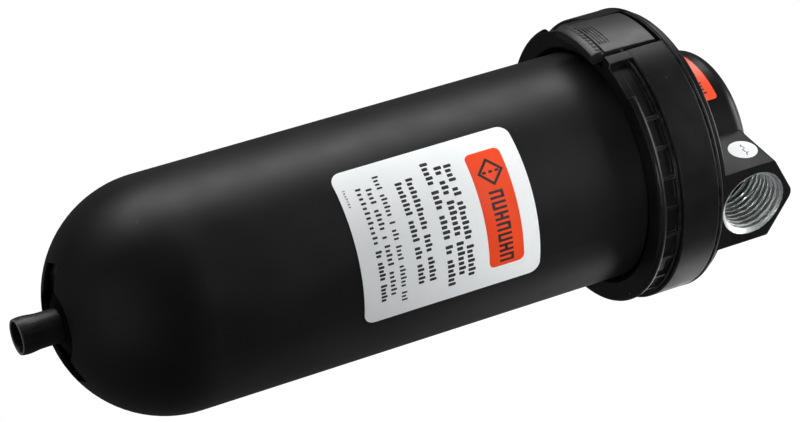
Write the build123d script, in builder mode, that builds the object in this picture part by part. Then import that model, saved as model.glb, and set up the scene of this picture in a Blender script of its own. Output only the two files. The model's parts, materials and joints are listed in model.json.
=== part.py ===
from build123d import *
from math import cos, degrees, pi, radians, sin, sqrt
import os

# Compressed air filter with a metal bowl guard, 1/2 NPT ports and a float drain.
# Millimetres. +Z runs up the bowl axis, +X runs out through the outlet port.
# The origin is on the bowl axis, at the open tip of the drain tube.

# ---- driving dimensions: guard and bowl ----
guard_radius = 35.5
guard_wall = 1.2
guard_length = 144.3            # dome centre to the underside of the guard's flange
guard_hole_radius = 11.0
guard_slot_width = 9.3
guard_slot_reach = 17.5
guard_slot_angle = 60.0
guard_bend = 0.4
flange_reach = 2.6              # of the guard's and the bowl's flanges, past the guard
bowl_gap = 0.4                  # between the guard's bore and the bowl
bowl_wall = 2.9
bowl_flange = 3.0
bowl_neck_step = 2.5            # the neck's radius over the bowl's
bowl_neck_length = 10.4
bowl_top_chamfer = 0.8
seal_width = 2.8
seal_depth = 2.3
seal_above_flange = 4.6
seal_fit = 0.05

# ---- driving dimensions: lock collar ----
collar_wall = 2.6
collar_height = 21.7
collar_lip = 3.0                # floor that the guard's flange rests on
collar_lip_fit = 0.7            # radial, round the guard
collar_mouth_chamfer = 1.2
collar_lip_gap = 0.2
collar_fit = 0.3                # radial, round the head's skirt
flange_space = 0.4              # radial room round the flanges
cavity_gap = 0.8                # over the bowl's flange
skirt_gap = 0.7                 # cavity's top to the head's skirt
bead_drop = 0.8                 # inward from the collar's outside
bead_height = 2.7
bead_round = 1.1
channel_drop = 2.2
channel_height = 3.6
ridge_drop = 1.0
ridge_height = 0.9
seam_drop = 1.6
seam_height = 0.5
rim_height = 1.1
rim_groove = 0.35
post_span = 4.1
recess_span = 16.5
rib_width = 1.1
rib_height = 0.8
rib_count = 29                  # places round a full turn
rib_first_angle = -49.5

# ---- driving dimensions: lock lugs and the collar's turn ----
lug_count = 3
lug_angle = 24.0
lug_height = 4.0
lug_reach = 1.6
lug_gap = 0.35
lug_rise = 2.0                  # above the skirt's edge
collar_turn = 30.0
pocket_slack = 0.9              # degrees at each end of a pocket

# ---- driving dimensions: latch ----
latch_angle = -95.3
latch_span = 26.2
window_top_wall = 1.3           # collar left above the window
window_end_gap = 1.5
window_floor_wall = 0.9
latch_lip_drop = 3.6            # below the collar's front face
latch_thickness = 2.2
latch_tooth_angle = 13.7
latch_tooth_height = 2.6
latch_tooth_reach = 1.1
latch_tooth_drop = 1.0          # below the latch's upper end
latch_tooth_gap = 0.5
latch_pin_radius = 0.9
latch_pin_height = 7.0
latch_pin_wall = 1.8            # window floor to the pin's axis
latch_pin_end = 1.7             # of the pin in the collar at each side
latch_pin_fit = 0.05
latch_knurl_count = 11
press_bar_count = 4
press_bar_pitch = 1.05
press_bar_angle = 13.0
spring_gap_width = 5.0
coil_wire = 0.4
coil_fit = 0.05

# ---- driving dimensions: head ----
skirt_fit = 0.3                 # radial, round the bowl's neck
skirt_wall = 4.7
ring_gap = 0.2                  # collar to the shoulder ring above it
ring_height = 2.2
ring_inset = 1.3                # inward from the collar's outside
turret_radius = 26.1
turret_rise = 9.7               # above the ports' axis
turret_round = 5.0
turret_round_height = 4.5
chamber_wall = 2.3              # of the skirt beside the chamber
chamber_ceiling = 0.2           # below the collar's top
neck_end_gap = 0.3              # over the bowl's neck
spigot_radius = 16.0
spigot_drop = 5.7
port_rise = 2.73                # from the bore's wall down to the collar's top
port_inset = 3.6                # port face, inward from the collar's outside
port_wall = 3.03
port_corner_rise = 6.5          # boss corners above the ports' axis
port_corner = 4.0
port_edge = 1.0
port_bore_radius = 10.67
port_bore_depth = 15.0
passage_radius = 8.2
hub_radius = 5.8
hub_height = 7.0
hub_rise = 0.8                  # above the spigot's face
spoke_width = 2.4

# ---- driving dimensions: filter element ----
gasket_thickness = 2.0
cap_thickness = 1.8
element_radius = 23.0
element_length = 99.0
media_thickness = 6.5
core_wall = 1.0
core_slot_rows = 4
core_slot_columns = 6
core_slot_bridge = 4.0
media_inset = 1.0               # caps' edge to the pleats
cap_bore_margin = 0.6
pleat_count = 36
pleat_depth = 3.2
deflector_gap = 1.2             # to the bowl's bore
deflector_thickness = 1.2
vane_count = 12
vane_drop = 7.0
vane_lean = 30.0
tie_rod_radius = 3.0
rod_fit = 0.6                   # radial, in the lower cap, gasket and baffle
rod_end = 2.5                   # below the retaining nut
baffle_gap = 3.5                # to the bowl's bore
baffle_drop = 9.0
baffle_wall = 1.6
nut_height = 7.0
nut_radius = 8.5

# ---- driving dimensions: drain ----
tube_reach = 10.6               # tube's tip to the guard's dome
tube_tip_radius = 5.4
tube_tip_length = 6.4
tube_radius = 5.1
tube_wall = 0.9
drain_fit = 0.1
drain_shank_radius = 6.9
drain_shank_clearance = 0.1
drain_nut_height = 2.9
drain_nut_radius = 9.6
drain_nut_nose = 6.0
bowl_flat_height = 4.9          # bowl's outer flat, above the dome's bottom
bowl_land_radius = 12.5
bowl_land = 3.7                 # bowl's thickness at the drain
drain_gasket_thickness = 1.4
drain_flange_radius = 12.0
drain_flange_height = 3.0
column_radius = 8.2
column_height = 20.4
column_bore = 6.7
nozzle_radius = 2.2
nozzle_height = 1.2
nozzle_hole = 0.9
stem_travel = 2.5
stem_flange_height = 1.5
drain_wire = 0.8
float_radius = 17.0
float_length = 34.0
float_lift = 5.0
float_bore_gap = 1.0            # radial, round the drain's column
float_seat_gap = 0.4
float_head_gap = 1.5            # lifted float to the screen's top
screen_slot_count = 12
screen_radius = 19.0
screen_wall = 0.8
pad_radius = 3.4
pad_thickness = 1.6

# ---- driving dimensions: labels ----
label_thickness = 0.12
guard_label_low = 46.0          # above the dome centre
guard_label_high = 104.3
guard_label_start = -70.0
guard_label_stop = 6.5
head_label_start = -107.0
head_label_stop = -56.8
head_label_low = 2.7            # above the shoulder ring
head_label_height = 11.0
sticker_radius = 4.5
sticker_inset = 9.1             # from the port's face
sticker_rise = 1.0              # above the ports' axis

# ---- worked out from the values above ----
dome_centre_z = tube_reach + guard_radius
flange_z = dome_centre_z + guard_length
collar_z = flange_z - collar_lip_gap - collar_lip
collar_top = collar_z + collar_height
bowl_flange_z = flange_z + guard_wall
bowl_shoulder_z = bowl_flange_z + bowl_flange
bowl_top = bowl_shoulder_z + bowl_neck_length
bowl_radius = guard_radius - guard_wall - bowl_gap
bowl_bore = bowl_radius - bowl_wall
bowl_neck_radius = bowl_radius + bowl_neck_step
bowl_flat_z = tube_reach + bowl_flat_height
bowl_land_height = bowl_flat_z + bowl_land
seal_z = bowl_shoulder_z + seal_above_flange
flange_radius = guard_radius + flange_reach
flange_room = flange_radius + flange_space
cavity_z = bowl_shoulder_z + cavity_gap
skirt_z = cavity_z + skirt_gap
skirt_bore_radius = bowl_neck_radius + skirt_fit
skirt_radius = skirt_bore_radius + skirt_wall
collar_bore = skirt_radius + collar_fit
collar_radius = collar_bore + collar_wall
bead_radius = collar_radius - bead_drop
channel_radius = collar_radius - channel_drop
ridge_radius = collar_radius - ridge_drop
seam_radius = collar_radius - seam_drop
collar_lip_radius = guard_radius + collar_lip_fit
collar_mouth_radius = collar_lip_radius + collar_mouth_chamfer
ring_z = collar_top + ring_gap
ring_top = ring_z + ring_height
ring_radius = collar_radius - ring_inset
port_z = collar_top + port_bore_radius + port_rise
port_reach = collar_radius - port_inset
port_half_width = port_bore_radius + port_wall
turret_top = port_z + turret_rise
chamber_top = collar_top - chamber_ceiling
chamber_radius = skirt_bore_radius - chamber_wall
spigot_z = chamber_top - spigot_drop
lug_z = skirt_z + lug_rise
window_high_z = collar_top - window_top_wall
latch_top_z = window_high_z - window_end_gap
window_floor = flange_room + window_floor_wall
latch_pin_offset = window_floor + latch_pin_wall
pocket_radius = collar_bore - lug_reach - lug_gap
deflector_radius = bowl_bore - deflector_gap
baffle_radius = bowl_bore - baffle_gap
drain_nut_bottom = bowl_flat_z - drain_nut_height


def radial_plane(angle):
    """Upright plane through the bowl axis, its own x running outward at the angle."""
    c = cos(radians(angle))
    s = sin(radians(angle))
    return Plane(origin=(0, 0, 0), x_dir=(c, s, 0), z_dir=(s, -c, 0))


def turned(points, start=0.0, arc=360.0):
    """Solid turned about the bowl axis from (radius, height) points."""
    with BuildPart() as piece:
        with BuildSketch(radial_plane(start)):
            with BuildLine():
                Polyline(*points, close=True)
            make_face()
        revolve(axis=Axis.Z, revolution_arc=arc)
    return piece.part


def sector(r_in, r_out, z_low, z_high, start, stop):
    """Part of a ring between two angles."""
    corners = [(r_in, z_low), (r_out, z_low), (r_out, z_high), (r_in, z_high)]
    return turned(corners, start, stop - start)


def finish_piece(builder, name):
    """Label a finished piece and write it out."""
    builder.part.label = name
    export_step(builder.part, f"parts/{name}.step")


os.makedirs("parts", exist_ok=True)


# ---- bowl guard: drawn metal shell with a hole and two slots in its dome ----
slot_cutter = Pos(0, 0, dome_centre_z - guard_radius) * Rot(0, 0, guard_slot_angle) * Box(
    2 * guard_slot_reach, guard_slot_width, guard_radius
)
with BuildPart() as bowl_guard:
    guard_top = flange_z + guard_wall
    guard_bore = guard_radius - guard_wall
    with BuildSketch(Plane.XZ):
        with BuildLine():
            CenterArc((0, dome_centre_z), guard_radius, -90, 90)
            Polyline(
                (guard_radius, dome_centre_z),
                (guard_radius, flange_z - guard_bend),
                (guard_radius + guard_bend, flange_z),
                (flange_radius, flange_z),
                (flange_radius, guard_top),
                (guard_bore, guard_top),
                (guard_bore, dome_centre_z),
            )
            CenterArc((0, dome_centre_z), guard_bore, -90, 90)
            Line(
                (0, dome_centre_z - guard_radius),
                (0, dome_centre_z - guard_bore),
            )
        make_face()
    revolve(axis=Axis.Z)
    with Locations((0, 0, dome_centre_z - guard_radius)):
        Cylinder(guard_hole_radius, guard_radius, mode=Mode.SUBTRACT)
    add(slot_cutter, mode=Mode.SUBTRACT)
finish_piece(bowl_guard, "bowl_guard")


# ---- pressure bowl: clear plastic, with a flange, a neck and a seal groove ----
with BuildPart() as bowl:
    with BuildSketch(Plane.XZ):
        with BuildLine():
            CenterArc((0, dome_centre_z), bowl_radius, -90, 90)
            Polyline(
                (bowl_radius, dome_centre_z),
                (bowl_radius, bowl_flange_z),
                (flange_radius, bowl_flange_z),
                (flange_radius, bowl_shoulder_z),
                (bowl_neck_radius, bowl_shoulder_z),
                (bowl_neck_radius, seal_z),
                (bowl_neck_radius - seal_depth, seal_z),
                (bowl_neck_radius - seal_depth, seal_z + seal_width),
                (bowl_neck_radius, seal_z + seal_width),
                (bowl_neck_radius, bowl_top - bowl_top_chamfer),
                (bowl_neck_radius - bowl_top_chamfer, bowl_top),
                (bowl_bore, bowl_top),
                (bowl_bore, dome_centre_z),
            )
            CenterArc((0, dome_centre_z), bowl_bore, -90, 90)
            Line((0, dome_centre_z - bowl_radius), (0, dome_centre_z - bowl_bore))
        make_face()
    revolve(axis=Axis.Z)
    with BuildSketch(Plane.XY.offset(dome_centre_z - bowl_bore)):
        Circle(bowl_land_radius)
    extrude(amount=bowl_land_height - dome_centre_z + bowl_bore)
    with BuildSketch(Plane.XY.offset(dome_centre_z - guard_radius)):
        Circle(bowl_radius)
    extrude(amount=bowl_flat_z - dome_centre_z + guard_radius, mode=Mode.SUBTRACT)
    with BuildSketch(Plane.XY.offset(bowl_flat_z)):
        Circle(drain_shank_radius + drain_shank_clearance)
    extrude(amount=bowl_land_height - bowl_flat_z, mode=Mode.SUBTRACT)
finish_piece(bowl, "bowl")


# ---- bowl seal: rubber ring in the neck's groove ----
seal_reach = skirt_bore_radius - seal_fit
seal_floor = bowl_neck_radius - seal_depth
with BuildPart() as bowl_seal:
    with BuildSketch(Plane.XZ):
        with Locations(((seal_reach + seal_floor) / 2, seal_z + seal_width / 2)):
            Circle((seal_reach - seal_floor) / 2)
    revolve(axis=Axis.Z)
finish_piece(bowl_seal, "bowl_seal")


# ---- lock collar: ribbed below, smooth above, with a window for the latch ----
bead_z = collar_z + bead_height
ridge_z = bead_z + channel_height
seam_z = ridge_z + ridge_height
band_z = seam_z + seam_height
rim_z = collar_top - rim_height
lip_z = collar_z + collar_lip
window_side_gap = degrees(window_end_gap / collar_radius)
window_start = latch_angle - latch_span / 2 - window_side_gap
window_stop = latch_angle + latch_span / 2 + window_side_gap
window_low = sector(window_floor, collar_radius + 3, collar_z - 1, cavity_z + 1, window_start, window_stop)
window_high = sector(collar_bore - 1, collar_radius + 3, cavity_z, window_high_z, window_start, window_stop)
post_right = sector(channel_radius - 0.5, collar_radius - 0.15, collar_z, band_z + 0.5,
                    window_stop, window_stop + post_span)
post_left = sector(channel_radius - 0.5, collar_radius - 0.15, collar_z, band_z + 0.5,
                   window_start - post_span, window_start)
recess_right = sector(channel_radius + 0.15, collar_radius + 1, collar_z - 1, bead_z,
                      window_stop + post_span, window_stop + post_span + recess_span)
recess_left = sector(channel_radius + 0.15, collar_radius + 1, collar_z - 1, bead_z,
                     window_start - post_span - recess_span, window_start - post_span)
rib_pitch = 360 / rib_count
rib_clear = window_stop - latch_angle + post_span + recess_span
rib_half = degrees(rib_width / 2 / channel_radius)
ribs = []
for place in range(rib_count):
    angle = rib_first_angle + place * rib_pitch
    away = abs((angle - latch_angle + 180) % 360 - 180)
    if away > rib_clear:
        ribs.append(sector(channel_radius - 0.3, channel_radius + rib_height, bead_z - 0.3,
                           ridge_z + 0.2, angle - rib_half, angle + rib_half))
lugs = []
for place in range(lug_count):
    middle = latch_angle + (place + 0.5) * 360 / lug_count
    lugs.append(sector(collar_bore - lug_reach, collar_bore + 0.5, lug_z, lug_z + lug_height,
                       middle - lug_angle / 2, middle + lug_angle / 2))
pin_z = collar_z + latch_pin_height
pin_half = latch_pin_offset * sin(radians(window_stop - latch_angle)) + latch_pin_end
side_plane = radial_plane(latch_angle)
with BuildPart() as lock_collar:
    with BuildSketch(Plane.XZ):
        with BuildLine():
            Polyline(
                (bead_radius - bead_round, collar_z),
                (collar_mouth_radius, collar_z),
                (collar_lip_radius, collar_z + collar_mouth_chamfer),
                (collar_lip_radius, lip_z),
                (flange_room, lip_z),
                (flange_room, cavity_z),
                (collar_bore, cavity_z),
                (collar_bore, collar_top),
                (collar_radius - 0.2, collar_top),
                (collar_radius + 0.1, collar_top - 0.3),
                (collar_radius + 0.1, rim_z + 0.2),
                (collar_radius - rim_groove, rim_z),
                (collar_radius - rim_groove, rim_z - 0.3),
                (collar_radius, rim_z - 0.6),
                (collar_radius, band_z + 0.4),
                (collar_radius - 0.4, band_z),
                (seam_radius, band_z),
                (seam_radius, seam_z),
                (ridge_radius, seam_z),
                (ridge_radius, ridge_z + 0.2),
                (channel_radius, ridge_z),
                (channel_radius, bead_z),
                (bead_radius - bead_round, bead_z),
            )
            ThreePointArc(
                (bead_radius - bead_round, bead_z),
                (bead_radius, (bead_z + collar_z) / 2),
                (bead_radius - bead_round, collar_z),
            )
        make_face()
    revolve(axis=Axis.Z)
    add(recess_right, mode=Mode.SUBTRACT)
    add(recess_left, mode=Mode.SUBTRACT)
    add(post_right)
    add(post_left)
    add(ribs)
    add(lugs)
    add(window_low, mode=Mode.SUBTRACT)
    add(window_high, mode=Mode.SUBTRACT)
    with BuildSketch(side_plane.offset(-pin_half)):
        with Locations((latch_pin_offset, pin_z)):
            Circle(latch_pin_radius)
    extrude(amount=2 * pin_half, mode=Mode.SUBTRACT)
finish_piece(lock_collar, "lock_collar")


# ---- latch: rocker in the collar's window, with a tooth behind its upper end ----
latch_back = collar_bore + collar_fit
latch_face = latch_back + latch_thickness
latch_start = latch_angle - latch_span / 2
tooth_top = latch_top_z - latch_tooth_drop
tooth_half = latch_tooth_angle / 2
latch_tooth = sector(collar_bore - latch_tooth_reach, latch_back + 0.4, tooth_top - latch_tooth_height,
                     tooth_top, latch_angle - tooth_half, latch_angle + tooth_half)
spring_half = degrees(spring_gap_width / 2 / latch_pin_offset)
spring_pocket = sector(window_floor, latch_pin_offset + 2.1, pin_z - 2.1, pin_z + 2.6,
                       latch_angle - spring_half, latch_angle + spring_half)
lip_bottom = collar_z - latch_lip_drop
groove_z = collar_z + 0.9
with BuildPart() as latch_blank:
    with BuildSketch(radial_plane(latch_start)):
        with BuildLine():
            Polyline(
                (latch_face - 0.3, latch_top_z),
                (latch_back, latch_top_z),
                (latch_back, pin_z + 1.5),
                (latch_pin_offset - 1.1, pin_z + 1.5),
                (latch_pin_offset - 1.1, pin_z - 1.3),
                (latch_pin_offset - 0.2, pin_z - 2.6),
                (latch_pin_offset - 0.1, lip_bottom + 1.0),
                (latch_pin_offset + 0.8, lip_bottom),
                (latch_face + 0.1, lip_bottom),
            )
            ThreePointArc(
                (latch_face + 0.1, lip_bottom),
                (latch_face + 0.8, lip_bottom + 1.3),
                (latch_face + 0.7, collar_z - 0.2),
            )
            Polyline(
                (latch_face + 0.7, collar_z - 0.2),
                (latch_face - 0.3, collar_z + 0.1),
                (latch_face - 0.3, groove_z - 0.2),
                (latch_face + 0.5, groove_z),
            )
            ThreePointArc(
                (latch_face + 0.5, groove_z),
                (latch_face + 0.4, pin_z + 1.0),
                (latch_face, latch_top_z - 0.3),
            )
            Line((latch_face, latch_top_z - 0.3), (latch_face - 0.3, latch_top_z))
        make_face()
    revolve(axis=Axis.Z, revolution_arc=latch_span)
knurls = []
knurl_margin = 2.0
knurl_pitch = (latch_span - 2 * knurl_margin) / (latch_knurl_count - 1)
for place in range(latch_knurl_count):
    angle = latch_start + knurl_margin + place * knurl_pitch
    knurls.append(sector(latch_face + 0.4, latch_face + 1.2, collar_z - 1.6, collar_z - 0.4,
                         angle - 0.6, angle + 0.6))
press_bars = []
press_bar_middle = latch_angle + 1.5
for place in range(press_bar_count):
    bar_z = groove_z + 0.7 + place * press_bar_pitch
    press_bars.append(sector(latch_face + 0.1, latch_face + 0.85, bar_z, bar_z + 0.45,
                             press_bar_middle - press_bar_angle / 2, press_bar_middle + press_bar_angle / 2))
with BuildPart() as latch_lever:
    add(latch_blank.part)
    add(latch_tooth)
    add(knurls)
    add(press_bars)
    add(spring_pocket, mode=Mode.SUBTRACT)
    with BuildSketch(side_plane.offset(-pin_half)):
        with Locations((latch_pin_offset, pin_z)):
            Circle(latch_pin_radius + latch_pin_fit)
    extrude(amount=2 * pin_half, mode=Mode.SUBTRACT)
finish_piece(latch_lever, "latch_lever")

with BuildPart() as latch_pin:
    with BuildSketch(side_plane.offset(-pin_half)):
        with Locations((latch_pin_offset, pin_z)):
            Circle(latch_pin_radius)
    extrude(amount=2 * pin_half)
finish_piece(latch_pin, "latch_pin")

coil_radius = latch_pin_radius + coil_wire / 2 + coil_fit
coil_width = spring_gap_width - 1.0
coil_start = side_plane.from_local_coords((latch_pin_offset, pin_z, -coil_width / 2))
with BuildPart() as latch_spring:
    with BuildLine() as coil:
        Helix(
            pitch=coil_wire * 1.6,
            height=coil_width,
            radius=coil_radius,
            center=coil_start,
            direction=side_plane.z_dir,
        )
    with BuildSketch(Plane(origin=coil.line @ 0, z_dir=coil.line % 0)):
        Circle(coil_wire / 2)
    sweep()
finish_piece(latch_spring, "latch_spring")


# ---- head: round turret on a cast body, with a hexagonal boss through it for the ports ----
boss_corner_z = port_z + port_corner_rise
boss_peak_z = boss_corner_z + port_half_width / sqrt(3)
pocket_bottom = skirt_z - 1
pockets = []
for place in range(lug_count):
    middle = latch_angle + (place + 0.5) * 360 / lug_count
    pockets.append(sector(pocket_radius, collar_bore, pocket_bottom, lug_z + lug_height + lug_gap,
                          middle - lug_angle / 2 - pocket_slack,
                          middle + lug_angle / 2 + collar_turn + pocket_slack))
tooth_sweep = tooth_half + pocket_slack
pockets.append(sector(pocket_radius, collar_bore, pocket_bottom, tooth_top + latch_tooth_gap,
                      latch_angle - tooth_sweep, latch_angle + tooth_sweep + collar_turn))
with BuildPart() as head_body:
    with BuildSketch(Plane.XZ):
        with BuildLine():
            Polyline(
                (turret_radius - turret_round, turret_top),
                (0, turret_top),
                (0, skirt_z),
                (skirt_radius, skirt_z),
                (skirt_radius, ring_z),
                (ring_radius, ring_z),
                (ring_radius, ring_top - 0.4),
                (ring_radius - 0.4, ring_top),
                (turret_radius, ring_top),
                (turret_radius, turret_top - turret_round_height),
            )
            EllipticalCenterArc(
                (turret_radius - turret_round, turret_top - turret_round_height),
                turret_round,
                turret_round_height,
                start_angle=0,
                arc_size=90,
            )
        make_face()
    revolve(axis=Axis.Z)
    with BuildSketch(Plane.YZ.offset(-port_reach)) as boss_outline:
        with BuildLine():
            Polyline(
                (-port_half_width, ring_z),
                (-port_half_width, boss_corner_z),
                (0, boss_peak_z),
                (port_half_width, boss_corner_z),
                (port_half_width, ring_z),
                close=True,
            )
        make_face()
        fillet(boss_outline.vertices().sort_by(Axis.Y)[-1], radius=port_corner)
        fillet(boss_outline.vertices().sort_by(Axis.Y)[2:4], radius=port_edge)
    extrude(amount=2 * port_reach)
    # flats on the shoulder ring, flush with the port faces
    with BuildSketch(Plane.XY.offset(ring_z)):
        with Locations((port_reach + ring_radius / 2, 0), (-port_reach - ring_radius / 2, 0)):
            Rectangle(ring_radius, 2 * ring_radius)
    extrude(amount=ring_height, mode=Mode.SUBTRACT)
    # skirt bore, chamber and spigot
    with BuildSketch(Plane.XY.offset(skirt_z)):
        Circle(skirt_bore_radius)
    extrude(amount=bowl_top + neck_end_gap - skirt_z, mode=Mode.SUBTRACT)
    with BuildSketch(Plane.XY.offset(bowl_top)):
        Circle(chamber_radius)
        Circle(spigot_radius, mode=Mode.SUBTRACT)
    extrude(amount=chamber_top - bowl_top, mode=Mode.SUBTRACT)
    with BuildSketch(Plane.XY.offset(spigot_z)):
        Circle(spigot_radius)
    extrude(amount=chamber_top - spigot_z)
    # outlet passage, up the middle and out to the right
    with BuildSketch(Plane.XY.offset(spigot_z)):
        Circle(passage_radius)
    extrude(amount=port_z - spigot_z, mode=Mode.SUBTRACT)
    with BuildSketch(Plane.YZ):
        with Locations((0, port_z)):
            Circle(passage_radius)
    extrude(amount=port_reach, mode=Mode.SUBTRACT)
    with Locations((0, 0, port_z)):
        Sphere(passage_radius, mode=Mode.SUBTRACT)
    # threaded ports
    for side in (1, -1):
        with BuildSketch(Plane.YZ.offset(side * port_reach)):
            with Locations((0, port_z)):
                Circle(port_bore_radius)
        extrude(amount=-side * port_bore_depth, mode=Mode.SUBTRACT)
    # inlet passage, and the slot from it down into the chamber
    slot_inner = spigot_radius + 1
    slot_outer = port_reach - port_bore_depth
    with BuildSketch(Plane.YZ.offset(-port_reach)):
        with Locations((0, port_z)):
            Circle(passage_radius)
    extrude(amount=port_reach - slot_inner, mode=Mode.SUBTRACT)
    with BuildSketch(Plane.XY.offset(chamber_top - 1)):
        with Locations((-(slot_inner + slot_outer) / 2, 0)):
            Rectangle(slot_outer - slot_inner, passage_radius * 1.8)
    extrude(amount=port_z - chamber_top, mode=Mode.SUBTRACT)
    # tie rod hub on three spokes
    hub_z = spigot_z + hub_rise
    with BuildSketch(Plane.XY.offset(hub_z)):
        Circle(hub_radius)
        with PolarLocations(passage_radius / 2 + 1.2, 3, start_angle=90):
            Rectangle(passage_radius + 1.6, spoke_width)
        Circle(tie_rod_radius, mode=Mode.SUBTRACT)
    extrude(amount=hub_height)
    add(pockets, mode=Mode.SUBTRACT)
finish_piece(head_body, "head_body")


# ---- filter element, hung under the spigot on a tie rod ----
gasket_z = spigot_z - gasket_thickness
deflector_z = gasket_z - deflector_thickness
upper_cap_z = deflector_z - cap_thickness
media_z = upper_cap_z - element_length
lower_cap_z = media_z - cap_thickness
lower_gasket_z = lower_cap_z - gasket_thickness
rod_room = tie_rod_radius + rod_fit
media_outer = element_radius - media_inset
media_inner = media_outer - media_thickness

with BuildPart() as upper_gasket:
    with BuildSketch(Plane.XY.offset(gasket_z)):
        Circle(spigot_radius - 0.6)
        Circle(passage_radius + cap_bore_margin, mode=Mode.SUBTRACT)
    extrude(amount=gasket_thickness)
finish_piece(upper_gasket, "upper_gasket")

vane_run = deflector_radius - element_radius
with BuildPart() as deflector:
    with BuildSketch(Plane.XY.offset(deflector_z)):
        Circle(element_radius)
        Circle(passage_radius + cap_bore_margin, mode=Mode.SUBTRACT)
    extrude(amount=deflector_thickness)
    vane_height = vane_drop / cos(radians(vane_lean))
    vane_z = deflector_z + deflector_thickness - vane_drop / 2
    with PolarLocations((element_radius + deflector_radius) / 2 - 0.6, vane_count):
        with Locations(Location((0, 0, vane_z), (vane_lean, 0, 0))):
            Box(vane_run, deflector_thickness, vane_height)
    with BuildSketch(Plane.XY.offset(deflector_z)):
        Circle(element_radius + 2.2)
        Circle(element_radius - 0.5, mode=Mode.SUBTRACT)
    extrude(amount=deflector_thickness)
    with BuildSketch(Plane.XY.offset(deflector_z + deflector_thickness)):
        Circle(bowl_bore)
    extrude(amount=vane_drop, mode=Mode.SUBTRACT)
    with BuildSketch(Plane.XY.offset(upper_cap_z - vane_drop)):
        Circle(element_radius + 0.4)
    extrude(amount=vane_drop + cap_thickness, mode=Mode.SUBTRACT)
finish_piece(deflector, "deflector")

with BuildPart() as upper_cap:
    with BuildSketch(Plane.XY.offset(upper_cap_z)):
        Circle(element_radius)
        Circle(passage_radius + cap_bore_margin, mode=Mode.SUBTRACT)
    extrude(amount=cap_thickness)
finish_piece(upper_cap, "upper_cap")

with BuildPart() as filter_media:
    with BuildSketch(Plane.XY.offset(media_z)):
        with BuildLine():
            star = []
            for step in range(2 * pleat_count):
                reach = media_outer - (step % 2) * pleat_depth
                turn = pi * step / pleat_count
                star.append((reach * cos(turn), reach * sin(turn)))
            Polyline(*star, close=True)
        make_face()
        Circle(media_inner, mode=Mode.SUBTRACT)
    extrude(amount=element_length)
finish_piece(filter_media, "filter_media")

slot_length = element_length / core_slot_rows - core_slot_bridge
with BuildPart() as core_tube:
    with BuildSketch(Plane.XY.offset(media_z)):
        Circle(media_inner)
        Circle(media_inner - core_wall, mode=Mode.SUBTRACT)
    extrude(amount=element_length)
    for row in range(core_slot_rows):
        slot_z = media_z + (row + 0.5) * element_length / core_slot_rows
        with Locations((0, 0, slot_z)):
            with PolarLocations(media_inner, core_slot_columns):
                Box(4, 3.5, slot_length, mode=Mode.SUBTRACT)
finish_piece(core_tube, "core_tube")

with BuildPart() as lower_cap:
    with BuildSketch(Plane.XY.offset(lower_cap_z)):
        Circle(element_radius)
        Circle(rod_room, mode=Mode.SUBTRACT)
    extrude(amount=cap_thickness)
finish_piece(lower_cap, "lower_cap")

with BuildPart() as lower_gasket:
    with BuildSketch(Plane.XY.offset(lower_gasket_z)):
        Circle(nut_radius)
        Circle(rod_room, mode=Mode.SUBTRACT)
    extrude(amount=gasket_thickness)
finish_piece(lower_gasket, "lower_gasket")

baffle_plate = turned(
    [
        (rod_room, lower_gasket_z),
        (rod_room, lower_gasket_z - baffle_wall),
        (nut_radius + 1.5, lower_gasket_z - baffle_wall),
        (baffle_radius, lower_gasket_z - baffle_drop),
        (baffle_radius, lower_gasket_z - baffle_drop + baffle_wall),
        (nut_radius + 2.0, lower_gasket_z),
    ]
)
with BuildPart() as baffle:
    add(baffle_plate)
finish_piece(baffle, "baffle")

nut_z = lower_gasket_z - baffle_wall - nut_height
with BuildPart() as retaining_nut:
    with BuildSketch(Plane.XY.offset(nut_z)):
        RegularPolygon(nut_radius, 6)
    extrude(amount=nut_height)
    with BuildSketch(Plane.XY.offset(nut_z)):
        Circle(tie_rod_radius)
    extrude(amount=nut_height, mode=Mode.SUBTRACT)
    chamfer(retaining_nut.faces().sort_by(Axis.Z)[0].outer_wire().edges(), length=0.8)
finish_piece(retaining_nut, "retaining_nut")

rod_z = nut_z - rod_end
with BuildPart() as tie_rod:
    with BuildSketch(Plane.XY.offset(rod_z)):
        Circle(tie_rod_radius)
    extrude(amount=hub_z + hub_height - rod_z)
    chamfer(tie_rod.edges().sort_by(Axis.Z)[0], length=0.5)
finish_piece(tie_rod, "tie_rod")


# ---- drain: threaded body, nut, sliding tube and float ----
drain_flange_z = bowl_land_height + drain_gasket_thickness
column_z = drain_flange_z + drain_flange_height
column_top = column_z + column_height
ledge_z = column_z + 0.6
ceiling_z = column_top - 1.6
nozzle_z = column_top + nozzle_height
shank_z = drain_nut_bottom + 1.2
stem_fit_radius = tube_radius + drain_fit

with BuildPart() as drain_gasket:
    with BuildSketch(Plane.XY.offset(bowl_land_height)):
        Circle(drain_flange_radius)
        Circle(drain_shank_radius + drain_shank_clearance, mode=Mode.SUBTRACT)
    extrude(amount=drain_gasket_thickness)
finish_piece(drain_gasket, "drain_gasket")

drain_turned = turned(
    [
        (stem_fit_radius, shank_z),
        (drain_shank_radius, shank_z),
        (drain_shank_radius, drain_flange_z),
        (drain_flange_radius, drain_flange_z),
        (drain_flange_radius, column_z),
        (column_radius, column_z),
        (column_radius, column_top),
        (nozzle_radius, column_top),
        (nozzle_radius, nozzle_z),
        (nozzle_hole, nozzle_z),
        (nozzle_hole, ceiling_z),
        (column_bore, ceiling_z),
        (column_bore, ledge_z),
        (stem_fit_radius, ledge_z),
    ]
)
with BuildPart() as drain_body:
    add(drain_turned)
finish_piece(drain_body, "drain_body")

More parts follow.
